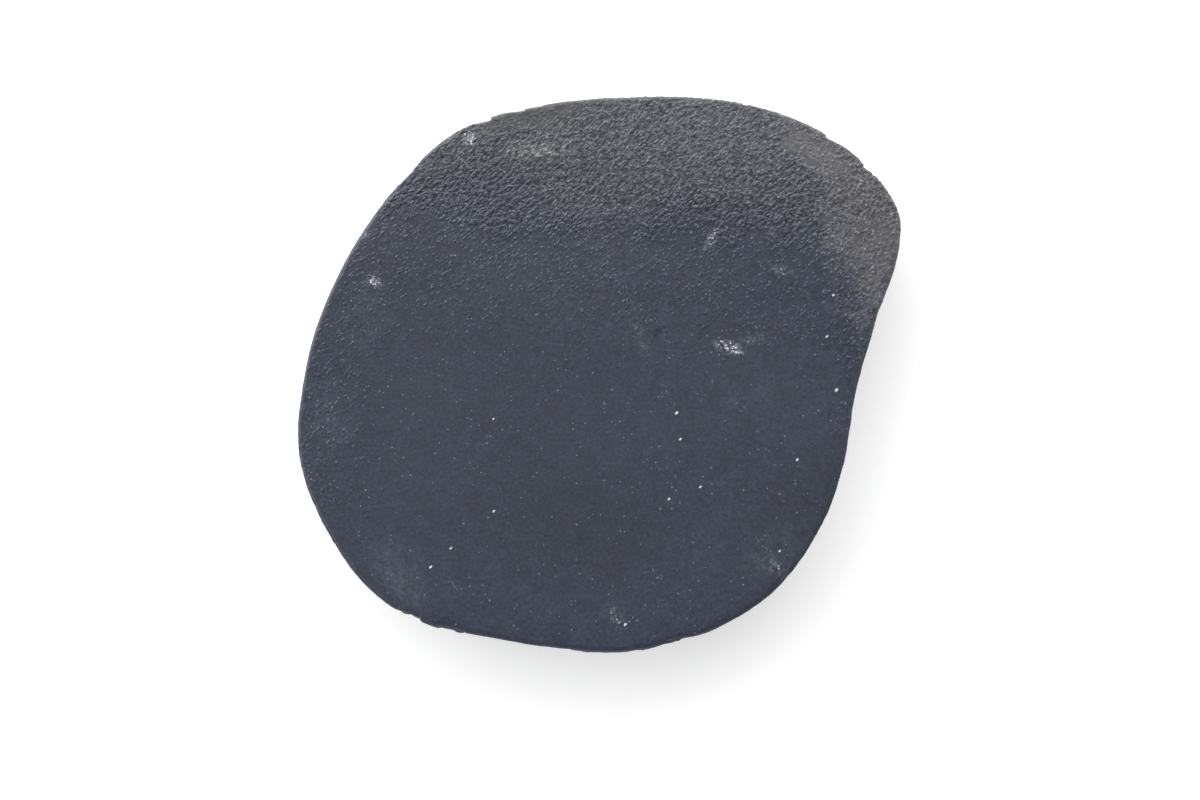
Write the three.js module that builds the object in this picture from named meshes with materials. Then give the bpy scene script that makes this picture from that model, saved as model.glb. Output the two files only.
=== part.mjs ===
// A limestone stepping stone: one slab of dark, fine-grained limestone, split along its bedding,
// trimmed by hammer to a rounded, irregular outline and worn smooth. It lies flat on its underside.
//
// Millimetres, +Z up. The origin is the middle of the footprint, on the ground.
import * as THREE from "three";
import { ImprovedNoise } from "three/addons/math/ImprovedNoise.js";

// ---------------------------------------------------------------- driving dimensions

// Where the outline is widest: the bearing from +X, anticlockwise in degrees, and the reach from the middle.
const OUTLINE = [
  [9, 205],
  [20, 234],
  [28, 253],
  [38, 258],
  [50, 257],
  [64, 246],
  [80, 232],
  [100, 226],
  [120, 227],
  [142, 214],
  [167, 212],
  [185, 221],
  [203, 236],
  [225, 245],
  [237, 244],
  [250, 232],
  [262, 228],
  [274, 228],
  [290, 224],
  [303, 217],
  [318, 203],
  [332, 191],
  [350, 184],
];

const TREAD_HEIGHT = 38; // the ground to the tread, before it is worn
const GIRTH_SWELL = { size: 80, height: 1.5 }; // how the girth rises and dips on its way round

// How the rim bends above and below the girth: 1 is a straight slope, 2 an ellipse, and more squares it.
const UPPER_POWER = 2;
const LOWER_POWER = 1.5;

// How far in from the outline the tread's edge and the underside's edge lie, how far below the tread the
// outline is widest, and the bearing where each is most.
const SHOULDER = { least: 2.2, most: 5, bearing: 95 };
const UNDERCUT = { least: 11, most: 24, bearing: 270 };
const GIRTH_DEPTH = { least: 3, most: 5, bearing: 95 };

// The tread falls away to one side. It begins to fall at start, counted from the middle.
const TREAD_FALLS = [
  { bearing: 95, start: 50, length: 175, drop: 6 },
  { bearing: 190, start: 90, length: 140, drop: 1.2 },
  { bearing: 30, start: 150, length: 110, drop: 2.5 },
];

// Slow swells on the tread, and the rougher swells of the trimmed side, which fade out towards the rim:
// there are none at the first depth below the tread, and all of them at the second.
const TREAD_SWELLS = [
  { size: 150, height: 1.1 },
  { size: 60, height: 0.5 },
];
const SIDE_SWELLS = [
  { size: 70, height: 1.4 },
  { size: 26, height: 1.2 },
];
const SWELLS_FADE = [4, 14];

// Beds that stand out of the side as ledges, by their height over the ground.
const LEDGES = [
  { height: 7, thickness: 3.5, reach: 1.6 },
  { height: 18, thickness: 3, reach: 1.4 },
];

// Chips out of the rim: the bearing, the length along the rim, the bite into it, and the middle's height.
const CHIPS = [
  { bearing: 236, length: 20, bite: 1.5, height: 33 },
  { bearing: 244, length: 16, bite: 1.5, height: 33 },
  { bearing: 282, length: 20, bite: 1, height: 34 },
  { bearing: 135, length: 32, bite: 1.5, height: 31 },
  { bearing: 115, length: 20, bite: 1, height: 30 },
  { bearing: 107, length: 30, bite: 1, height: 30 },
  { bearing: 46, length: 18, bite: 2, height: 31 },
  { bearing: 38, length: 18, bite: 1.5, height: 31 },
  { bearing: 8, length: 20, bite: 1, height: 32 },
];

// The scars of the hammer, struck off the side all the way round: the least and the most of each measure.
const HAMMER_SCARS = { count: 32, length: [24, 54], bite: [1, 3.4], height: [8, 24] };
const SCAR_HEIGHT = 11; // half the height of a chip or a scar

// Shallow plates that came away from the underside: the middle, the reach and the depth.
const SPALLS = [
  { x: -120, y: 95, reach: 62, depth: 2.6 },
  { x: 118, y: 120, reach: 66, depth: 3.2 },
  { x: -60, y: -150, reach: 52, depth: 2.2 },
  { x: 112, y: -85, reach: 44, depth: 2.4 },
];

const RIM_POINTS = 188; // points round the outline
const TREAD_STEP = 9.4; // the distance between points on the tread
const UNDERSIDE_STEP = 16; // the distance between points on the underside
const UPPER_RIM_ANGLES = [76, 55, 36, 18]; // degrees up the rounded rim, from the tread to the girth
const LOWER_RIM_ANGLES = [0, -14, -27, -39, -51, -63, -76]; // degrees down the rim, to the underside

// ---------------------------------------------------------------- surfaces

const noise = new ImprovedNoise();
const { degToRad: radians, lerp, smoothstep, clamp, seededRandom } = THREE.MathUtils;

// Several sizes of noise added up, at a point in space. seed picks another part of the noise.
function swell(swells, x, y, z, seed) {
  return swells.reduce(
    (sum, { size, height }) => sum + height * noise.noise(x / size + seed, y / size + seed, z / size + seed),
    0,
  );
}

// How far a point lies from the middle towards a bearing in degrees.
const along = (bearing, x, y) => x * Math.cos(radians(bearing)) + y * Math.sin(radians(bearing));

// A point at a bearing in radians, a reach from the middle, and a height.
const polar = (bearing, reach, height) =>
  new THREE.Vector3(reach * Math.cos(bearing), reach * Math.sin(bearing), height);

// The smooth closed curve through the outline's points.
function outlineCurve() {
  const points = OUTLINE.map(([bearing, reach]) => polar(radians(bearing), reach, 0));
  return new THREE.CatmullRomCurve3(points, true, "centripetal");
}

// The tread's height at a point.
function treadHeight(x, y) {
  const fall = TREAD_FALLS.reduce(
    (sum, { bearing, start, length, drop }) =>
      sum + drop * Math.pow(Math.max(0, along(bearing, x, y) - start) / length, 2),
    0,
  );
  return TREAD_HEIGHT - fall + swell(TREAD_SWELLS, x, y, 0, 3.7);
}

// The underside's height at a point: flat on the ground, but for the spalls.
function undersideHeight(x, y) {
  return SPALLS.reduce((height, spall) => {
    const away = Math.hypot(x - spall.x, y - spall.y) / spall.reach;
    const edge = 1 + 0.18 * noise.noise(x / 22, y / 22, 9.2);
    return Math.max(height, spall.depth * smoothstep(edge - away, 0, 0.35));
  }, 0);
}

// A measure of the rim at a bearing in radians: most towards one side, least away from it, and uneven.
function rimMeasure({ least, most, bearing: peak }, bearing) {
  const towards = (1 + Math.cos(bearing - radians(peak))) / 2;
  const unevenness = 1 + 0.5 * noise.noise(2 * Math.cos(bearing), 2 * Math.sin(bearing), most / 10);
  return lerp(least, most, towards * towards) * unevenness;
}

const shoulderAt = (bearing) => rimMeasure(SHOULDER, bearing);
const undercutAt = (bearing) => rimMeasure(UNDERCUT, bearing);

// The height of the widest place, at a bearing in radians and a reach.
function girthHeight(bearing, reach) {
  const { x, y } = polar(bearing, reach, 0);
  return treadHeight(x, y) - rimMeasure(GIRTH_DEPTH, bearing) + swell([GIRTH_SWELL], x, y, 0, 6.1);
}

// The hammer's scars, spread round the side, with the same unevenness every time.
function hammerScars() {
  const { count, length, bite, height } = HAMMER_SCARS;
  return Array.from({ length: count }, (_, i) => {
    const [turn, long, deep, high] = [1, 2, 3, 4].map((k) => seededRandom(4 * i + k));
    return {
      bearing: (360 / count) * (i + 0.6 * turn),
      length: lerp(...length, long),
      bite: lerp(...bite, deep),
      height: lerp(...height, high),
    };
  });
}

const SCARS = [...CHIPS, ...hammerScars()];

// What one scar took away at a place on the side: most at its middle, and nothing from its edge on.
function scarDepth(scar, bearing, reach, height) {
  const from = bearing - radians(scar.bearing);
  const turn = Math.atan2(Math.sin(from), Math.cos(from));
  const sideways = (turn * reach) / (scar.length / 2);
  const upwards = (height - scar.height) / SCAR_HEIGHT;
  return scar.bite * Math.max(0, 1 - sideways * sideways - upwards * upwards);
}

// How far the side stands out of the outline at a height: its swells and ledges, less the scars.
function sideRelief(bearing, reach, height) {
  const { x, y } = polar(bearing, reach, height);
  const shownSwells = smoothstep(TREAD_HEIGHT - height, ...SWELLS_FADE);
  let relief = shownSwells * swell(SIDE_SWELLS, x, y, height * 2, 11.3);
  for (const ledge of LEDGES) {
    const shown = clamp(0.5 + noise.noise(x / 55, y / 55, ledge.height), 0, 1);
    const away = (height - ledge.height) / ledge.thickness;
    relief += ledge.reach * shown * Math.exp(-away * away);
  }
  for (const scar of SCARS) relief -= scarDepth(scar, bearing, reach, height);
  return relief;
}

// ---------------------------------------------------------------- rings of points

// A ring of points, count of them, evenly spaced round the outline. place(bearing, reach) gives each point.
function ring(curve, count, phase, place) {
  return Array.from({ length: count }, (_, i) => {
    const rim = curve.getPointAt(((i + phase) / count) % 1);
    return place(Math.atan2(rim.y, rim.x), Math.hypot(rim.x, rim.y));
  });
}

// A point on the rounded rim, at an angle up or down from the girth.
function rimPoint(bearing, reach, angle) {
  const power = angle > 0 ? UPPER_POWER : LOWER_POWER;
  const out = Math.pow(Math.cos(radians(Math.abs(angle))), 2 / power);
  const away = Math.pow(Math.sin(radians(Math.abs(angle))), 2 / power);
  const inset = (angle > 0 ? shoulderAt(bearing) : undercutAt(bearing)) * (1 - out);
  const bare = polar(bearing, reach - inset, 0);
  const end = angle > 0 ? treadHeight(bare.x, bare.y) : undersideHeight(bare.x, bare.y);
  const height = lerp(girthHeight(bearing, reach), end, away);
  return polar(bearing, reach - inset + sideRelief(bearing, reach, height) * out, height);
}

// The rings from the middle of a face out to where the rim begins, no further apart than step.
function faceRings(curve, insetAt, step, heightAt) {
  const bands = Math.round(curve.getLength() / (2 * Math.PI * step));
  const rings = [[polar(0, 0, heightAt(0, 0))]];
  for (let k = 1; k <= bands; k += 1) {
    const share = k / bands;
    const count = Math.min(RIM_POINTS, Math.max(6, Math.round((share * curve.getLength()) / step)));
    const phase = (k % 2) / 2;
    rings.push(
      ring(curve, count, phase, (bearing, reach) => {
        const flat = polar(bearing, share * (reach - insetAt(bearing)), 0);
        return flat.setZ(heightAt(flat.x, flat.y));
      }),
    );
  }
  return rings;
}

function stoneRings() {
  const curve = outlineCurve();
  const tread = faceRings(curve, shoulderAt, TREAD_STEP, treadHeight);
  const rim = [...UPPER_RIM_ANGLES, ...LOWER_RIM_ANGLES].map((angle, k) =>
    ring(curve, RIM_POINTS, (k % 2) / 2, (bearing, reach) => rimPoint(bearing, reach, angle)),
  );
  const underside = faceRings(curve, undercutAt, UNDERSIDE_STEP, undersideHeight);
  return [...tread, ...rim, ...underside.reverse()];
}

// ---------------------------------------------------------------- solid

// Fills the band between a ring of point numbers and the next one with triangles that face outwards.
function stitch(ring, next, triangles) {
  let a = ring.length === 1 ? 1 : 0;
  let b = next.length === 1 ? 1 : 0;
  while (a < ring.length || b < next.length) {
    const here = ring[a % ring.length];
    const there = next[b % next.length];
    if (a === ring.length || (b < next.length && (b + 1) / next.length <= (a + 1) / ring.length)) {
      b += 1;
      triangles.push(there, next[b % next.length], here);
    } else {
      a += 1;
      triangles.push(there, ring[a % ring.length], here);
    }
  }
}

function stoneGeometry() {
  const rings = stoneRings();
  const triangles = [];
  let first = 0;
  const numbered = rings.map((points) => {
    first += points.length;
    return points.map((_, i) => first - points.length + i);
  });
  for (let k = 1; k < numbered.length; k += 1) stitch(numbered[k - 1], numbered[k], triangles);
  const geometry = new THREE.BufferGeometry().setFromPoints(rings.flat()).setIndex(triangles);
  geometry.computeBoundingBox();
  const { min, max } = geometry.boundingBox;
  geometry.translate(-(min.x + max.x) / 2, -(min.y + max.y) / 2, -min.z);
  geometry.computeVertexNormals();
  return geometry;
}

function steppingStone() {
  const limestone = new THREE.MeshStandardMaterial({ color: 0x444955, roughness: 0.62, flatShading: true });
  const stone = new THREE.Mesh(stoneGeometry(), limestone);
  stone.name = "stepping_stone";
  return stone;
}

const root = new THREE.Group();
root.name = "limestone_stepping_stone";
root.add(steppingStone());

export default root;
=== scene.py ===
"""The looks of a limestone stepping stone: a dark, fine-grained slab with a worn tread, a raised grain along
its far and side edges, a hammered side, and a few pale scuffs. Metres, +Z up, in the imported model's frame."""

import math

import bpy
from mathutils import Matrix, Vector

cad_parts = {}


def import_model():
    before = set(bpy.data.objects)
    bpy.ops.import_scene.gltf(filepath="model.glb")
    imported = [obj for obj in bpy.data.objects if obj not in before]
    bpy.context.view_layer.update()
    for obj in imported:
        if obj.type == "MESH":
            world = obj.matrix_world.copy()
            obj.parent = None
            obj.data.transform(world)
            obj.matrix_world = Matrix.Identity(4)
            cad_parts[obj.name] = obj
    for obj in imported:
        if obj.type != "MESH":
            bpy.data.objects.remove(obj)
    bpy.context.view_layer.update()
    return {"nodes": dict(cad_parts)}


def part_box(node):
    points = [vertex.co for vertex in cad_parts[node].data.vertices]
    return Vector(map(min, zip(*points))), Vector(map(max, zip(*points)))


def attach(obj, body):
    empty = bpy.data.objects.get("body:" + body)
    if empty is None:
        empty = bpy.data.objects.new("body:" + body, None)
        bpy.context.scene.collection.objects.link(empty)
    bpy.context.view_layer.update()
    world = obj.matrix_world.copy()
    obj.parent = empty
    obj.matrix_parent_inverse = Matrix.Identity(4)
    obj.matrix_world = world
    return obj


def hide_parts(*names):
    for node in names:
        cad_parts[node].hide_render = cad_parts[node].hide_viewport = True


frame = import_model()

MM = 0.001
NODE = "stepping_stone"
LOW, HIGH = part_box(NODE)
MIDDLE = (LOW + HIGH) / 2
SIZE = HIGH - LOW

# ---------------------------------------------------------------- settings: the mesh and its relief

GRID = 0.85 * MM  # the mesh's spacing while the relief is raised
FACES = 192000  # triangles that the finished mesh keeps, most of them where the grain is
SMOOTHING = 4  # rounds of smoothing that take the solid's facets away

# A pattern is made of cells or of noise, and has the width of its features. Where they are long, it has their
# length over their width, and the bearing in degrees from +X that they lie along. Noise has finer layers too,
# and how rough they make it, and it may swirl. Where a noise pattern has a range and values, it runs from the
# first value to the second over that range of the noise.

# The raised grain: short mounds, which run partly into wavy ridges where the grain is full.
GRAIN = {"width": 2.15 * MM, "length": 1.65, "bearing": 56, "height": 0.30 * MM}
RIDGES = {"width": 2.6 * MM, "layers": 2, "rough": 0.6, "swirl": 0.5, "range": (0.42, 0.64), "values": (0, 1)}
RIDGE_SHARE = 0.38  # of the grain where it is full

# The coarser lumps under the grain, which lie and stretch as it does, the low ripples that gather it in rows,
# and the streaks in the dust.
LUMPS = {"width": 3.0 * MM, "layers": 2, "rough": 0.55, "range": (0.30, 0.75), "values": (0, 1)}
LUMP_HEIGHT = 0.46 * MM
ROWS = {"width": 8 * MM, "layers": 2, "rough": 0.5, "length": 3.0, "bearing": 24, "height": 0.5 * MM}
STREAKS = {"width": 2.2 * MM, "layers": 2, "rough": 0.6, "length": 7.0, "bearing": GRAIN["bearing"] + 8}

# The hammered side: scooped scars, by how wide they are, how deep, and how far one stands behind the next, on
# broad swells and under a crumbled skin. Flatness is the width over the height: the stone is bedded. All this
# is whole up to one height above the ground, and nearly gone at the other.
SCARS = {"width": 12 * MM, "flatness": 1.9, "depth": 1.7 * MM, "step": 1.1 * MM}
SWELLS = {"width": 15 * MM, "layers": 3, "rough": 0.55, "flatness": 2.2, "height": 2.6 * MM}
CRUMBS = {"width": 3.4 * MM, "layers": 3, "rough": 0.6, "height": 1.0 * MM}
SIDE_FADE = {"whole": 22 * MM, "gone": 31 * MM}

# The pits of the split underside, and the nicks along the rim, which are upright. Their values are heights.
PITS = {
    "width": 24 * MM,
    "layers": 4,
    "rough": 0.6,
    "swirl": 0.8,
    "range": (0.35, 0.75),
    "values": (-1.1 * MM, 0),
}
NICKS = {
    "width": 6.5 * MM,
    "layers": 2,
    "rough": 0.5,
    "flatness": 0.3,
    "range": (0.62, 0.74),
    "values": (0, -1.1 * MM),
}

# Chips off the rim that end in a crisp step: the step's bearing in degrees from +X, how deep it is, and how
# far along the rim the chip runs from the step, anticlockwise if it is more than 0.
CHIPS = [
    {"bearing": 238, "depth": 1.4 * MM, "run": -18 * MM},
    {"bearing": 241, "depth": 1.0 * MM, "run": 16 * MM},
    {"bearing": 280, "depth": 1.5 * MM, "run": 22 * MM},
    {"bearing": 114, "depth": 2.0 * MM, "run": 20 * MM},
    {"bearing": 107, "depth": 1.2 * MM, "run": 16 * MM},
    {"bearing": 103, "depth": 0.8 * MM, "run": 12 * MM},
    {"bearing": 48, "depth": 1.4 * MM, "run": -16 * MM},
    {"bearing": 39, "depth": 1.5 * MM, "run": -10 * MM},
]

# How far below the top a chip begins and is whole, how far in from the rim it is gone and whole, and how far
# to the sides of a bearing the outline's corners are looked at.
CHIP_DROP = {"begins": 22 * MM, "whole": 13 * MM}
CHIP_INSET = {"gone": 12 * MM, "whole": 2 * MM}
RIM_SEARCH = 6 * MM

# Where the grain stands up. A band lies towards one side of the stone. Along that direction, which is about 1
# long, it starts at one distance from the frame's origin, and is at its full strength from the other.
ROUGH_BANDS = [
    {"towards": (0.05, 1.0, 0), "start": 30 * MM, "full": 140 * MM, "strength": 1.0},
    {"towards": (0.05, 1.0, 0), "start": -60 * MM, "full": 80 * MM, "strength": 0.50},
    {"towards": (0.95, 0.30, 0), "start": 120 * MM, "full": 190 * MM, "strength": 0.74},
    {"towards": (-0.98, 0.20, 0), "start": 110 * MM, "full": 205 * MM, "strength": 0.49},
]
ROUGH_WANDER = {"width": 40 * MM, "layers": 4, "rough": 0.65, "reach": 50 * MM}  # of the bands' bounds
CALM = 0.45  # the share of the grain that is worn off on the first dusty patch and on the olive chips

# How patterns are bent, so that they lose their straight lines: the width of the bends, and their reach.
BENDS = {
    "grain": {"width": 5 * MM, "reach": 1 * MM},
    "rows": {"width": 40 * MM, "reach": 12 * MM},
    "scars": {"width": 13 * MM, "reach": 9 * MM},
    "calm": {"width": 18 * MM, "reach": 8 * MM},
    "dust_and_sheen": {"width": 22 * MM, "reach": 16 * MM},
    "stains": {"width": 30 * MM, "reach": 14 * MM},
    "scuffs": {"width": 6 * MM, "reach": 3 * MM},
    "scratches": {"width": 20 * MM, "reach": 1.5 * MM},
}

# ---------------------------------------------------------------- settings: the markings of the tread

# Bands where the stone is paler and greyer: a blotchy one at the far edge, which is dust with a painted sheen
# in it, and one at the right edge. The third cuts the right one off at its near end. Their bounds wander, and
# their dust is warmer in places.
FAR_DUST_AND_SHEEN = {"towards": (0.14, 1.0, 0), "start": 110 * MM, "full": 185 * MM, "strength": 0.57}
DUSTY_RIGHT = {"towards": (1.0, 0.24, 0), "start": 174 * MM, "full": 212 * MM, "strength": 0.80}
DUSTY_RIGHT_END = {"towards": (0.14, 1.0, 0), "start": 5 * MM, "full": 65 * MM, "strength": 1.0}
DUSTY_WANDER = {"width": 24 * MM, "layers": 4, "rough": 0.6, "reach": 30 * MM}
BLOTCHES = {"width": 14 * MM, "layers": 4, "rough": 0.65, "range": (0.38, 0.58), "values": (0.36, 1.0)}
WARMTH = {"width": 12 * MM, "layers": 3, "rough": 0.6, "range": (0.44, 0.60), "values": (0, 1)}

# The whole tread: its two blues, its specks, and the clouds in its tone.
MOTTLE = {"width": 26 * MM, "layers": 3, "rough": 0.6, "range": (0.36, 0.64), "values": (0, 1)}
SPECKS = {"width": 2.2 * MM, "layers": 2, "rough": 0.6, "range": (0.30, 0.70), "values": (-1, 1)}
CLOUDS = {"width": 12 * MM, "layers": 4, "rough": 0.6, "range": (0.3, 0.7), "values": (0.89, 1.11)}

# The places below are shares of the stone's box from its low corner. A patch is an oval, with the reach from
# its middle along its bearing and square to it.
DUSTY_PATCHES = [
    {"at": (0.855, 0.880), "reach": (30 * MM, 13 * MM), "bearing": 140, "strength": 0.92},
    {"at": (0.500, 0.795), "reach": (60 * MM, 26 * MM), "bearing": 0, "strength": 0.27},
]
TAN_PATCH = {"at": (0.370, 0.880), "reach": (24 * MM, 7 * MM), "bearing": 0}
TAN_CRUMBS = {"width": 4 * MM, "layers": 2, "rough": 0.5, "range": (0.40, 0.65), "values": (0, 1)}
OLIVE_CHIPS = {"at": (0.375, 0.960), "reach": (40 * MM, 12 * MM), "bearing": 15}

# Pale, wispy, bluish veils over the dark stone.
HAZES = [
    {"at": (0.175, 0.125), "reach": (24 * MM, 12 * MM), "bearing": 130, "strength": 0.38},
    {"at": (0.055, 0.370), "reach": (30 * MM, 16 * MM), "bearing": 90, "strength": 0.20},
    {"at": (0.090, 0.550), "reach": (32 * MM, 16 * MM), "bearing": 80, "strength": 0.12},
    {"at": (0.760, 0.150), "reach": (26 * MM, 14 * MM), "bearing": 40, "strength": 0.20},
    {"at": (0.740, 0.420), "reach": (22 * MM, 14 * MM), "bearing": 20, "strength": 0.10},
    {"at": (0.420, 0.640), "reach": (60 * MM, 26 * MM), "bearing": 0, "strength": 0.10},
]
WISPS = {"width": 7 * MM, "layers": 5, "rough": 0.7, "range": (0.38, 0.62), "values": (0.35, 1.35)}

# Broad places in the near part of the tread that are darker.
SHADES = [
    {"at": (0.450, 0.200), "reach": (60 * MM, 34 * MM), "bearing": 170, "strength": 0.18},
    {"at": (0.800, 0.200), "reach": (50 * MM, 32 * MM), "bearing": 50, "strength": 0.20},
]

# A scuff is a patch of pale crumbs where the skin was bruised.
SCUFFS = [
    {"at": (0.700, 0.500), "reach": (9 * MM, 4 * MM), "bearing": 165, "strength": 1.0},
    {"at": (0.740, 0.515), "reach": (8 * MM, 3.5 * MM), "bearing": 10, "strength": 0.30},
    {"at": (0.260, 0.905), "reach": (6 * MM, 4.5 * MM), "bearing": 100, "strength": 1.0},
    {"at": (0.110, 0.620), "reach": (6 * MM, 3.5 * MM), "bearing": 150, "strength": 1.0},
    {"at": (0.090, 0.710), "reach": (5 * MM, 2.5 * MM), "bearing": 60, "strength": 0.5},
    {"at": (0.675, 0.705), "reach": (10 * MM, 3.5 * MM), "bearing": 62, "strength": 0.42},
    {"at": (0.790, 0.640), "reach": (9 * MM, 3 * MM), "bearing": 165, "strength": 0.35},
    {"at": (0.550, 0.520), "reach": (15 * MM, 4 * MM), "bearing": 112, "strength": 0.17},
    {"at": (0.755, 0.130), "reach": (11 * MM, 6 * MM), "bearing": 145, "strength": 0.24},
    {"at": (0.510, 0.050), "reach": (10 * MM, 5 * MM), "bearing": 115, "strength": 0.26},
    {"at": (0.365, 0.880), "reach": (16 * MM, 4 * MM), "bearing": 0, "strength": 0.16},
]
SCUFF_CRUMBS = 1.8 * MM  # from one pale crumb of a scuff to the next
SMEAR = {"width": 2.5 * MM, "layers": 2, "rough": 0.5, "range": (0.42, 0.70), "values": (0, 0.45)}

# Single bright pale dots, most of them in the worn middle: the place, and the reach along their length. They
# share one bearing, and one width as a share of their length.
PALE_DOTS = [
    {"at": (0.610, 0.385), "reach": 1.4 * MM},
    {"at": (0.615, 0.340), "reach": 1.1 * MM},
    {"at": (0.315, 0.375), "reach": 0.9 * MM},
    {"at": (0.320, 0.220), "reach": 1.1 * MM},
    {"at": (0.255, 0.160), "reach": 1.0 * MM},
    {"at": (0.225, 0.130), "reach": 1.2 * MM},
    {"at": (0.870, 0.425), "reach": 1.5 * MM},
    {"at": (0.860, 0.520), "reach": 1.2 * MM},
    {"at": (0.645, 0.260), "reach": 1.1 * MM},
    {"at": (0.595, 0.240), "reach": 1.1 * MM},
    {"at": (0.800, 0.305), "reach": 1.2 * MM},
    {"at": (0.875, 0.595), "reach": 1.2 * MM},
    {"at": (0.765, 0.155), "reach": 0.9 * MM},
    {"at": (0.525, 0.040), "reach": 1.2 * MM},
]
PALE_DOT_BEARING = 50
PALE_DOT_WIDTH = 0.6
PALE_DOT_SPACING = 2.8 * MM  # between the small pale dots that a pattern scatters
PALE_DOT_CROWDS = {"width": 22 * MM, "layers": 3, "rough": 0.6, "range": (0.38, 0.65), "values": (0, 0.14)}

# Hairline scratches, as long and very narrow patches.
HAIRLINE = 0.35 * MM
SCRATCHES = [
    {"at": (0.550, 0.550), "reach": (33 * MM, HAIRLINE), "bearing": 108},
    {"at": (0.260, 0.105), "reach": (9 * MM, HAIRLINE), "bearing": 122},
    {"at": (0.740, 0.165), "reach": (12 * MM, HAIRLINE), "bearing": 128},
    {"at": (0.640, 0.670), "reach": (16 * MM, HAIRLINE), "bearing": 40},
    {"at": (0.900, 0.360), "reach": (8 * MM, HAIRLINE), "bearing": 55},
]
SCRATCH_BREAKS = {"width": 3 * MM, "layers": 2, "rough": 0.5, "range": (0.46, 0.64), "values": (0, 0.10)}

# The side's crumbled skin, the soil on the underside, and the relief that only the material has, on the tread
# and off it.
SIDE_SKIN = {"width": 2.4 * MM, "layers": 4, "rough": 0.7, "range": (0.3, 0.7), "values": (0.66, 1.34)}
SOIL = {"width": 30 * MM, "layers": 4, "rough": 0.65, "range": (0.5, 0.7), "values": (0, 0.5)}
FINE_TREAD = {"width": 1.1 * MM, "layers": 3, "rough": 0.65}
FINE_SIDE = {"width": 1.8 * MM, "layers": 4, "rough": 0.7}
FINE_HEIGHT = 0.5 * MM  # what a height of 1 means in that relief

# ---------------------------------------------------------------- settings: colours, light and camera

# Colours are red, green, blue and alpha, in the linear scale that shaders work in.
TEAL = (0.0292, 0.0380, 0.0605, 1)
PURPLE = (0.0316, 0.0374, 0.0600, 1)
OLIVE = (0.042, 0.043, 0.046, 1)
# paler, greyer dust, and in the far band a painted sheen too
DUST_AND_SHEEN = (0.102, 0.101, 0.114, 1)
WARM_DUST_AND_SHEEN = (0.102, 0.100, 0.110, 1)
TAN = (0.180, 0.172, 0.176, 1)
HAZE = (0.090, 0.102, 0.134, 1)
PALE = (0.66, 0.68, 0.74, 1)
SIDE_GREY = (0.040, 0.045, 0.059, 1)
EARTH = (0.070, 0.058, 0.045, 1)

SHINE = 0.36  # the stone's specular level: lower than the usual 0.5, so that it looks dry

FLOOR_HALF = 6.0  # half the length of the floor's sides
FLOOR_WHITE = (0.9, 0.9, 0.9, 1)
FLOOR_GLOW = 0.42  # so that the floor comes out white in the picture

# The sky's glow: the bearing where it is brightest, its strength there and opposite, and its share overhead.
SKY = {"bearing": 122, "brightest": 5.7, "opposite": 1.55, "overhead": 0.07}

# The camera: the angle that it looks down at, how far its aim is, and the aim from the stone's middle.
CAMERA = {"angle": 65, "distance": 1.225, "aim": Vector((-6 * MM, -32.5 * MM, -2.3 * MM))}

# ---------------------------------------------------------------- nodes


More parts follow.
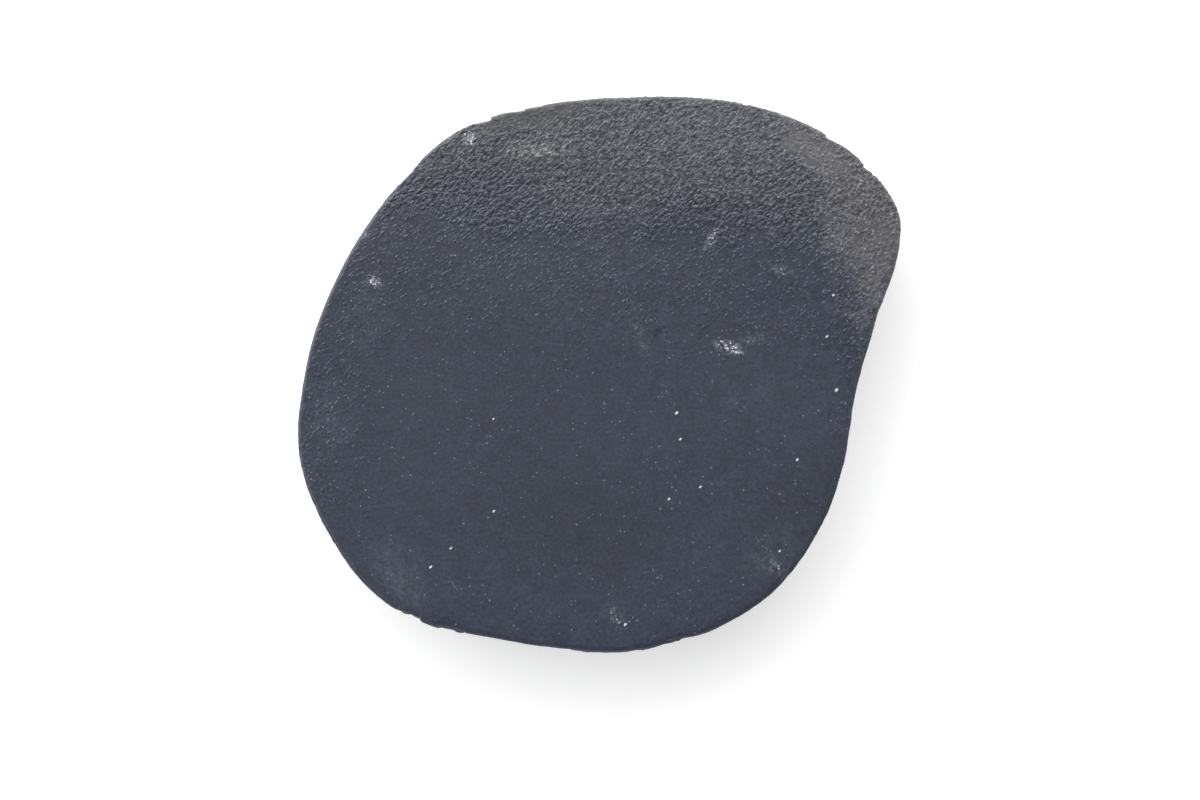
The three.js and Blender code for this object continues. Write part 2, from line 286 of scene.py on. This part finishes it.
class Net:
    """Short calls that add nodes to a shader tree or a geometry tree."""

    def __init__(self, tree):
        self.tree = tree

    def add(self, kind, inputs=(), **settings):
        """A new node. Its inputs are given by name or number, as values or as sockets to link."""
        node = self.tree.nodes.new(kind)
        for name, value in settings.items():
            setattr(node, name, value)
        for key, value in dict(inputs).items():
            self.feed(node.inputs[key], value)
        return node

    def feed(self, socket, value):
        if isinstance(value, bpy.types.NodeSocket):
            self.tree.links.new(value, socket)
        else:
            socket.default_value = value

    def math(self, operation, *values):
        return self.add("ShaderNodeMath", enumerate(values), operation=operation).outputs[0]

    def chain(self, operation, values):
        """One value from several: the first two, then that and the third, and so on."""
        result = values[0]
        for value in values[1:]:
            result = self.math(operation, result, value)
        return result

    def product(self, *values):
        return self.chain("MULTIPLY", values)

    def most(self, values):
        """The greatest of several values."""
        return self.chain("MAXIMUM", values)

    def vector(self, operation, *values):
        node = self.add("ShaderNodeVectorMath", enumerate(values), operation=operation)
        return node.outputs["Value" if operation in ("LENGTH", "DOT_PRODUCT") else "Vector"]

    def scale(self, vector, factor):
        node = self.add("ShaderNodeVectorMath", {0: vector, "Scale": factor}, operation="SCALE")
        return node.outputs["Vector"]

    def noise(self, point, pattern):
        """The pattern's noise, from 0 to 1."""
        inputs = {
            "Vector": point,
            "Scale": 1 / pattern["width"],
            "Detail": pattern["layers"],
            "Roughness": pattern["rough"],
            "Distortion": pattern.get("swirl", 0.0),
        }
        return self.add("ShaderNodeTexNoise", inputs).outputs[0]

    def cloud(self, point, pattern):
        """The pattern's noise, taken from its range to its values."""
        return self.ramp(self.noise(point, pattern), *pattern["range"], *pattern["values"])

    def swing(self, point, pattern):
        """The pattern's noise, as a distance of up to the pattern's reach either way."""
        return self.math("MULTIPLY_ADD", self.noise(point, pattern), 2 * pattern["reach"], -pattern["reach"])

    def bend(self, point, bends):
        """The point, moved by up to the bends' reach along each axis."""
        node = self.add("ShaderNodeTexNoise", {"Vector": point, "Scale": 1 / bends["width"], "Detail": 1.0})
        centred = self.vector("SUBTRACT", node.outputs["Color"], (0.5, 0.5, 0.5))
        return self.vector("ADD", point, self.scale(centred, 2 * bends["reach"]))

    def cells(self, point, width):
        """Scattered points: the distance to the nearest, as a share of width, and three values of its own."""
        node = self.add("ShaderNodeTexVoronoi", {"Vector": point, "Scale": 1 / width})
        return node.outputs["Distance"], self.split(node.outputs["Color"])

    def ramp(self, value, low, high, to_low=0.0, to_high=1.0):
        """A smooth step of value between low and high, scaled to run from to_low to to_high."""
        node = self.add(
            "ShaderNodeMapRange",
            {"Value": value, "From Min": low, "From Max": high, "To Min": to_low, "To Max": to_high},
            interpolation_type="SMOOTHSTEP",
        )
        return node.outputs["Result"]

    def mix(self, factor, first, second):
        """One value at factor 0 and the other at factor 1."""
        return self.math("MULTIPLY_ADD", self.math("SUBTRACT", second, first), factor, first)

    def mix_colour(self, factor, first, second):
        """One colour at factor 0 and the other at factor 1. A Mix node has its colours in sockets 6 and 7."""
        node = self.add("ShaderNodeMix", {0: factor, 6: first, 7: second}, data_type="RGBA")
        return node.outputs[2]

    def split(self, point):
        return self.add("ShaderNodeSeparateXYZ", {0: point}).outputs

    def join(self, x, y, z):
        return self.add("ShaderNodeCombineXYZ", {0: x, 1: y, 2: z}).outputs[0]


def along(bearing):
    """The level direction at a bearing in degrees."""
    turn = math.radians(bearing)
    return (math.cos(turn), math.sin(turn), 0)


def turned(net, point, bearing):
    """The point's distances along a bearing and square to it, both level."""
    ahead = net.vector("DOT_PRODUCT", point, along(bearing))
    aside = net.vector("DOT_PRODUCT", point, along(bearing + 90))
    return ahead, aside


def stretched(net, point, pattern):
    """The level point, squeezed along the pattern's bearing, so that the pattern comes out long that way."""
    ahead, aside = turned(net, point, pattern["bearing"])
    return net.join(net.math("DIVIDE", ahead, pattern["length"]), aside, 0.0)


def flattened(net, point, pattern):
    """The point with its height stretched, so that the pattern comes out wider than high by its flatness."""
    return net.vector("MULTIPLY", point, (1, 1, pattern["flatness"]))


def place_of(share):
    """The point of the tread at a share of the stone's box."""
    return Vector((LOW.x + share[0] * SIZE.x, LOW.y + share[1] * SIZE.y, 0))


def patch(net, point, spot, edge=0.5):
    """1 well inside an oval patch and 0 well outside it. edge is how far the fall goes to both sides of the
    patch's bound, as a share of the patch's reach."""
    centred = net.vector("SUBTRACT", point, place_of(spot["at"]))
    ahead, aside = turned(net, centred, spot["bearing"])
    flat = net.join(
        net.math("DIVIDE", ahead, spot["reach"][0]),
        net.math("DIVIDE", aside, spot["reach"][1]),
        0.0,
    )
    return net.ramp(net.vector("LENGTH", flat), 1 + edge, 1 - edge)


def strongest(net, point, spots, edge):
    """The greatest of several patches, each times its own strength."""
    return net.most([net.math("MULTIPLY", patch(net, point, spot, edge), spot["strength"]) for spot in spots])


def band(net, point, wander, bounds):
    """How far a point lies into a band, from 0 to the band's strength. wander bends the band's bound."""
    distance = net.math("ADD", net.vector("DOT_PRODUCT", point, bounds["towards"]), wander)
    return net.ramp(distance, bounds["start"], bounds["full"], 0, bounds["strength"])


# ---------------------------------------------------------------- patterns of the tread


def rough_zone(net, point):
    """1 where the grain stands up, towards the far edge and both side edges, falling to 0 where feet land."""
    wander = net.swing(point, ROUGH_WANDER)
    bands = [band(net, point, wander, bounds) for bounds in ROUGH_BANDS]
    bent = net.bend(point, BENDS["calm"])
    calm = net.most([patch(net, bent, DUSTY_PATCHES[0]), patch(net, bent, OLIVE_CHIPS)])
    return net.math("MULTIPLY", net.most(bands), net.math("MULTIPLY_ADD", calm, -CALM, 1.0))


def dust_and_sheen_zone(net, point):
    """1 on the paler, greyer stone of the far edge, the right edge and the dusty patches. At the far edge the
    paleness is dust and a painted sheen.
    """
    wander = net.swing(point, DUSTY_WANDER)
    # the far band: dust, with a painted sheen in it
    far = net.math("MULTIPLY", band(net, point, wander, FAR_DUST_AND_SHEEN), net.cloud(point, BLOTCHES))
    right_end = band(net, point, wander, DUSTY_RIGHT_END)
    right = net.math("MULTIPLY", band(net, point, wander, DUSTY_RIGHT), right_end)
    patches = strongest(net, net.bend(point, BENDS["dust_and_sheen"]), DUSTY_PATCHES, edge=0.4)
    return net.most([far, right, patches])


def grain(net, point, zone):
    """The grain of the tread, from 0 to 1: short mounds that lean one way. There are only a few in the worn
    middle. In the rough zone they are close together, and run partly into wavy ridges."""
    waved = net.bend(stretched(net, point, GRAIN), BENDS["grain"])
    near, own = net.cells(waved, GRAIN["width"])
    crowd = net.ramp(zone, 0.0, 0.8)
    raised = net.ramp(own[0], net.mix(crowd, 0.95, -0.35), net.mix(crowd, 1.15, 0.95))
    mounds = net.math("MULTIPLY", net.ramp(near, 0.62, 0.05), raised)
    return net.mix(net.ramp(zone, 0.3, 1.0, 0, RIDGE_SHARE), mounds, net.cloud(waved, RIDGES))


def lumps(net, point):
    """The coarser lumps under the grain, from 0 to 1."""
    return net.cloud(stretched(net, point, GRAIN), LUMPS)


def rows(net, point):
    """Low ripples that gather the grain in rows, from 0 to 1."""
    return net.noise(stretched(net, net.bend(point, BENDS["rows"]), ROWS), ROWS)


def streaks(net, point):
    """Faint brushed streaks, nearly along the way that the grain leans, from 0 to 1."""
    return net.noise(stretched(net, point, STREAKS), STREAKS)


def scuffs(net, point):
    """Pale scuffs: bruised places, thick with crumbs in the middle and thin towards the edge."""
    bruised = strongest(net, net.bend(point, BENDS["scuffs"]), SCUFFS, edge=0.8)
    near, own = net.cells(point, SCUFF_CRUMBS)
    shown = net.ramp(net.math("ADD", own[0], bruised), 0.98, 1.50)
    crumbs = net.math("MULTIPLY", net.ramp(near, 0.60, 0.25), shown)
    return net.math("MAXIMUM", crumbs, net.math("MULTIPLY", net.cloud(point, SMEAR), bruised))


def pale_dot_patch(spot):
    """The oval patch that a placed pale dot covers."""
    reach = (spot["reach"], spot["reach"] * PALE_DOT_WIDTH)
    return {"at": spot["at"], "reach": reach, "bearing": PALE_DOT_BEARING}


def pale_dots(net, point):
    """Small bright pale dots, a few listed and the rest scattered in loose crowds."""
    placed = [patch(net, point, pale_dot_patch(spot), edge=0.4) for spot in PALE_DOTS]
    near, own = net.cells(point, PALE_DOT_SPACING)
    reach = net.math("MULTIPLY_ADD", own[1], 0.14, 0.16)
    scattered = net.ramp(near, reach, net.math("MULTIPLY", reach, 0.6))
    crowded = net.math("ADD", own[0], net.cloud(point, PALE_DOT_CROWDS))
    strength = net.ramp(crowded, 0.78, 1.14, 0, 0.30)
    return net.most(placed + [net.math("MULTIPLY", scattered, strength)])


def scratches(net, point):
    """Hairline scratches, broken along their length."""
    bent = net.bend(point, BENDS["scratches"])
    lines = [patch(net, bent, line, edge=0.6) for line in SCRATCHES]
    return net.math("MULTIPLY", net.most(lines), net.cloud(point, SCRATCH_BREAKS))


# ---------------------------------------------------------------- relief


def tread_height(net, point):
    """How far the tread stands out or in at a point."""
    zone = rough_zone(net, point)
    coarse = net.math("MULTIPLY", lumps(net, point), net.ramp(zone, 0.35, 1.0, 0, LUMP_HEIGHT))
    raised = net.math("MULTIPLY_ADD", grain(net, point, zone), GRAIN["height"], coarse)
    centred = net.math("SUBTRACT", rows(net, point), 0.5)
    ripples = net.product(centred, ROWS["height"], net.ramp(zone, 0.5, 1.0))
    return net.math("MULTIPLY", net.math("ADD", raised, ripples), net.ramp(zone, 0.0, 0.9))


def hammer_scars(net, point):
    """The scooped scars of the hammered side, from 0 in their hollows to 1 on the ridges between them, and a
    value of its own for each scar."""
    bent = net.bend(flattened(net, point, SCARS), BENDS["scars"])
    near, own = net.cells(bent, SCARS["width"])
    return net.ramp(near, 0.10, 0.85), own[0]


def side_height(net, point):
    """How far the hammered side stands out or in at a point: scar by scar, with a crumbled skin. The scars go
    in more than they stand out."""
    ridges, own = hammer_scars(net, point)
    swells = net.noise(flattened(net, point, SWELLS), SWELLS)
    crumbs = net.noise(point, CRUMBS)
    # each pattern, its value that leaves the side where it is, and how far all of it moves the side
    layers = [
        (ridges, 0.90, SCARS["depth"]),
        (own, 0.5, SCARS["step"]),
        (swells, 0.5, SWELLS["height"]),
        (crumbs, 0.5, CRUMBS["height"]),
    ]
    height = 0.0
    for pattern, level, reach in layers:
        height = net.math("MULTIPLY_ADD", net.math("SUBTRACT", pattern, level), reach, height)
    shown = net.ramp(net.split(point)["Z"], SIDE_FADE["gone"], SIDE_FADE["whole"], 0.2, 1.0)
    return net.math("MULTIPLY", height, shown)


def underside_height(net, point):
    """How far the split underside is pitted in at a point. It never stands out, so the stone rests flat."""
    return net.cloud(point, PITS)


def rim_nicks(net, point):
    """How far the rim's edge is nicked away at a point."""
    return net.cloud(flattened(net, point, NICKS), NICKS)


def rim_point(bearing):
    """The place on the plan where the CAD solid's outline lies, at a bearing in degrees."""
    outwards, aside = Vector(along(bearing)), Vector(along(bearing + 90))
    corners = [corner.co for corner in frame["nodes"][NODE].data.vertices]
    reach = max(corner.dot(outwards) for corner in corners if abs(corner.dot(aside)) < RIM_SEARCH)
    return outwards * reach


def chips(net, point):
    """The way that the crisp chips move the rim inwards at a point."""
    height = net.ramp(net.split(point)["Z"], HIGH.z - CHIP_DROP["begins"], HIGH.z - CHIP_DROP["whole"])
    moved = net.join(0.0, 0.0, 0.0)
    for chip in CHIPS:
        outwards, aside = along(chip["bearing"]), along(chip["bearing"] + 90)
        from_step = net.vector("SUBTRACT", point, rim_point(chip["bearing"]))
        run = net.math("DIVIDE", net.vector("DOT_PRODUCT", from_step, aside), chip["run"])
        shown = net.math("MULTIPLY", net.ramp(run, -0.03, 0.05), net.ramp(run, 1.0, 0.1))
        distance = net.vector("DOT_PRODUCT", from_step, outwards)
        at_rim = net.ramp(distance, -CHIP_INSET["gone"], -CHIP_INSET["whole"])
        depth = net.product(shown, at_rim, -chip["depth"], height)
        moved = net.vector("ADD", moved, net.scale(outwards, depth))
    return moved


# ---------------------------------------------------------------- mesh


def bake(stone):
    """Applies the stone's modifiers to its mesh."""
    bpy.context.view_layer.update()
    graph = bpy.context.evaluated_depsgraph_get()
    mesh = bpy.data.meshes.new_from_object(stone.evaluated_get(graph))
    old = stone.data
    stone.modifiers.clear()
    stone.data = mesh
    bpy.data.meshes.remove(old)


def even_mesh():
    """The solid's form on a fine, even grid, with its facets smoothed away."""
    stone = bpy.data.objects.new("limestone_slab", frame["nodes"][NODE].data.copy())
    bpy.context.scene.collection.objects.link(stone)
    weld = stone.modifiers.new("weld", "WELD")
    weld.merge_threshold = 0.01 * MM
    remesh = stone.modifiers.new("remesh", "REMESH")
    remesh.mode = "VOXEL"
    remesh.voxel_size = GRID
    smooth = stone.modifiers.new("smooth", "SMOOTH")
    smooth.factor = 0.5
    smooth.iterations = SMOOTHING
    bake(stone)
    return stone


def raise_relief(stone):
    """Raises the relief out of the mesh, with the patterns that the material reads too."""
    tree = bpy.data.node_groups.new("relief", "GeometryNodeTree")
    tree.interface.new_socket("Geometry", in_out="INPUT", socket_type="NodeSocketGeometry")
    tree.interface.new_socket("Geometry", in_out="OUTPUT", socket_type="NodeSocketGeometry")
    net = Net(tree)
    point = net.add("GeometryNodeInputPosition").outputs[0]
    normal = net.add("GeometryNodeInputNormal").outputs[0]
    up = net.split(normal)["Z"]
    tread = net.ramp(up, 0.20, 0.60)
    under = net.ramp(up, -0.6, -0.9)
    edge = net.math("MULTIPLY", net.ramp(up, 0.05, 0.5), net.ramp(up, 0.98, 0.8))
    height = net.mix(tread, side_height(net, point), tread_height(net, point))
    height = net.mix(under, height, underside_height(net, point))
    height = net.math("MULTIPLY_ADD", rim_nicks(net, point), edge, height)
    begin = net.add("NodeGroupInput")
    offset = net.vector("ADD", net.scale(normal, height), chips(net, point))
    moved = net.add("GeometryNodeSetPosition", {"Geometry": begin.outputs[0], "Offset": offset})
    net.add("NodeGroupOutput", {0: moved.outputs[0]})
    stone.modifiers.new("relief", "NODES").node_group = tree
    bake(stone)


def thin_out(stone):
    """Leaves fewer triangles, and most of them where the surface bends."""
    triangles = sum(len(face.vertices) - 2 for face in stone.data.polygons)
    decimate = stone.modifiers.new("decimate", "DECIMATE")
    decimate.ratio = min(1, FACES / triangles)
    decimate.use_collapse_triangulate = True
    bake(stone)


def stone_piece():
    """The stone with its relief and its material, in place of the CAD solid."""
    stone = even_mesh()
    raise_relief(stone)
    thin_out(stone)
    stone.data.polygons.foreach_set("use_smooth", [True] * len(stone.data.polygons))
    stone.data.materials.clear()
    stone.data.materials.append(limestone())
    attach(stone, "root")
    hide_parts(NODE)


# ---------------------------------------------------------------- material


def tread_hue(net, point, tread):
    """The tread's colour before its tone: blue stone, then dust, with a painted sheen in the far band, the tan
    patch, hazes and olive chips.
    """
    blue = net.mix_colour(net.cloud(point, MOTTLE), TEAL, PURPLE)
    elsewhere = net.vector("ADD", point, (0, 0, 0.5))  # so that this noise differs from the others
    # the hue of the dust, which in the far band is a painted sheen as well
    dust_and_sheen_hue = net.mix_colour(net.cloud(elsewhere, WARMTH), DUST_AND_SHEEN, WARM_DUST_AND_SHEEN)
    hue = net.mix_colour(tread["dust_and_sheen"], blue, dust_and_sheen_hue)
    tan = net.math("MULTIPLY", patch(net, point, TAN_PATCH), net.cloud(point, TAN_CRUMBS))
    hue = net.mix_colour(tan, hue, TAN)
    veils = strongest(net, tread["bent"], HAZES, edge=0.7)
    haze = net.math("MULTIPLY", veils, net.cloud(tread["bent"], WISPS))
    hue = net.mix_colour(haze, hue, HAZE)
    chipped = net.math("MULTIPLY", patch(net, tread["bent"], OLIVE_CHIPS), 0.8)
    return net.mix_colour(chipped, hue, OLIVE)


def tread_tone(net, point, up, tread):
    """How light the tread is, about 1: more on mounds, a painted highlight, and less between them, a painted
    shade. It is less too in the darker SHADES patches, and at the rim, where shade is painted.
    """
    zone, thick = tread["zone"], tread["thick"]
    # painted shade between the mounds and a painted highlight on their tops, both strongest where the grain is
    # thick
    painted_shade_between = net.mix(thick, 0.86, 0.45)  # the tone between the mounds
    painted_highlight_gain = net.mix(thick, 1.05, 1.75)  # what the top of a mound adds to it
    brushed = net.ramp(tread["streaks"], 0.30, 0.70, 0.80, 1.20)
    return net.product(
        net.mix(zone, 1.0, net.math("MULTIPLY_ADD", tread["mounds"], painted_highlight_gain, painted_shade_between)),
        net.math("MULTIPLY_ADD", net.cloud(point, SPECKS), net.mix(zone, 0.23, 0.36), 1.0),
        net.cloud(point, CLOUDS),
        net.mix(tread["dust_and_sheen"], 1.0, brushed),
        net.math("SUBTRACT", 1.0, strongest(net, tread["bent"], SHADES, edge=0.8)),
        # painted shade: darker where the tread tilts down towards the rim
        net.ramp(up, 0.45, 0.90, 0.92, 1.0),
    )


def side_colour(net, point):
    """The hammered side's grey, with a crumbled skin. It is a little paler on the ridges between its scars and
    darker in their hollows, which is painted light and shade.
    """
    ridges, own = hammer_scars(net, point)
    by_scar = net.math("MULTIPLY_ADD", own, 0.3, 0.85)
    # painted light on the scars' ridges and painted shade in their hollows
    tone = net.product(net.ramp(ridges, 0.1, 1.0, 0.88, 1.14), net.cloud(point, SIDE_SKIN), by_scar)
    return net.scale(SIDE_GREY[:3], tone)


def fine_normal(net, point, level, tread):
    """The normal with the relief that is too fine for the mesh. level is 1 on the tread and 0 off it."""
    zone, dust_and_sheen = tread["zone"], tread["dust_and_sheen"]
    mound_height = net.mix(dust_and_sheen, net.mix(tread["thick"], net.mix(zone, 0.42, 1.00), 1.36), 0.94)
    height = net.math("MULTIPLY", net.noise(point, FINE_TREAD), net.mix(zone, 0.10, 0.24))
    height = net.math("MULTIPLY_ADD", tread["mounds"], mound_height, height)
    height = net.math("MULTIPLY_ADD", tread["streaks"], net.math("MULTIPLY", dust_and_sheen, 0.7), height)
    height = net.mix(level, net.noise(point, FINE_SIDE), height)
    bump = net.add("ShaderNodeBump", {"Strength": 1.0, "Distance": FINE_HEIGHT, "Height": height})
    return bump.outputs[0]


def tread_patterns(net, point):
    """The patterns that the tread's hue, its tone and its fine relief share."""
    zone = rough_zone(net, point)
    return {
        "zone": zone,
        "thick": net.ramp(zone, 0.50, 1.0),
        "mounds": grain(net, point, zone),
        "dust_and_sheen": dust_and_sheen_zone(net, point),
        "streaks": streaks(net, point),
        "bent": net.bend(point, BENDS["stains"]),
    }


def limestone():
    """The stone's material. It reads the stone's own normal, so turning the stone over changes nothing."""
    material = bpy.data.materials.new("limestone")
    material.use_nodes = True
    tree = material.node_tree
    tree.nodes.clear()
    net = Net(tree)
    coordinates = net.add("ShaderNodeTexCoord")
    point = coordinates.outputs["Object"]
    up = net.split(coordinates.outputs["Normal"])["Z"]
    tread = tread_patterns(net, point)

    colour = net.scale(tread_hue(net, point, tread), tread_tone(net, point, up, tread))
    pale = net.most([scuffs(net, point), pale_dots(net, point), scratches(net, point)])
    colour = net.mix_colour(pale, colour, PALE)
    side = side_colour(net, point)
    colour = net.mix_colour(net.ramp(up, 0.05, 0.60), side, colour)
    base = net.mix_colour(net.cloud(point, SOIL), side, EARTH)
    colour = net.mix_colour(net.ramp(up, -0.5, -0.9), colour, base)

    level = net.ramp(up, 0.50, 0.90)
    polish = net.mix(net.math("MULTIPLY", tread["dust_and_sheen"], 0.8), net.mix(tread["zone"], 0.55, 0.36), 0.56)
    shader = net.add(
        "ShaderNodeBsdfPrincipled",
        {
            "Base Color": colour,
            "Roughness": net.mix(level, 1.0, polish),
            "Specular IOR Level": SHINE,
            "Normal": fine_normal(net, point, level, tread),
        },
    )
    net.add("ShaderNodeOutputMaterial", {"Surface": shader.outputs[0]})
    return material


# ---------------------------------------------------------------- studio


def floor_white():
    """The floor's material: white, with a glow that keeps it white."""
    material = bpy.data.materials.new("floor_white")
    material.use_nodes = True
    shader = material.node_tree.nodes["Principled BSDF"]
    shader.inputs["Base Color"].default_value = FLOOR_WHITE
    shader.inputs["Roughness"].default_value = 0.9
    shader.inputs["Emission Color"].default_value = (1, 1, 1, 1)
    shader.inputs["Emission Strength"].default_value = FLOOR_GLOW
    return material


def floor():
    """A square floor under the stone, on the ground."""
    corners = [(x * FLOOR_HALF, y * FLOOR_HALF, 0) for x, y in ((-1, -1), (1, -1), (1, 1), (-1, 1))]
    mesh = bpy.data.meshes.new("floor")
    mesh.from_pydata(corners, [], [(0, 1, 2, 3)])
    mesh.materials.append(floor_white())
    ground = bpy.data.objects.new("floor", mesh)
    bpy.context.scene.collection.objects.link(ground)


def world():
    """A wide glow that is brightest beyond the stone, below half way up the sky, and dim overhead."""
    surroundings = bpy.data.worlds.new("studio")
    surroundings.use_nodes = True
    net = Net(surroundings.node_tree)
    direction = net.add("ShaderNodeTexCoord").outputs["Generated"]
    beyond = net.vector("DOT_PRODUCT", direction, along(SKY["bearing"]))
    strength = net.ramp(beyond, -0.3, 0.9, SKY["opposite"], SKY["brightest"])
    low = net.ramp(net.split(direction)["Z"], 0.75, 0.35, SKY["overhead"], 1.0)
    background = surroundings.node_tree.nodes["Background"]
    background.inputs["Color"].default_value = (1, 1, 1, 1)
    net.feed(background.inputs["Strength"], net.math("MULTIPLY", low, strength))
    bpy.context.scene.world = surroundings


def camera():
    """Looks down on the tread from in front, as one who stands over the stone does."""
    angle = math.radians(CAMERA["angle"])
    lens = bpy.data.cameras.new("camera")
    lens.lens = 50
    lens.sensor_width = 36
    lens.clip_start = 0.05
    holder = bpy.data.objects.new("camera", lens)
    back = Vector((0, -math.cos(angle), math.sin(angle)))
    holder.location = MIDDLE + CAMERA["aim"] + back * CAMERA["distance"]
    holder.rotation_euler = back.to_track_quat("Z", "Y").to_euler()
    bpy.context.scene.collection.objects.link(holder)
    bpy.context.scene.camera = holder


camera()
stone_piece()
floor()
world()
bpy.context.scene.view_settings.view_transform = "Standard"
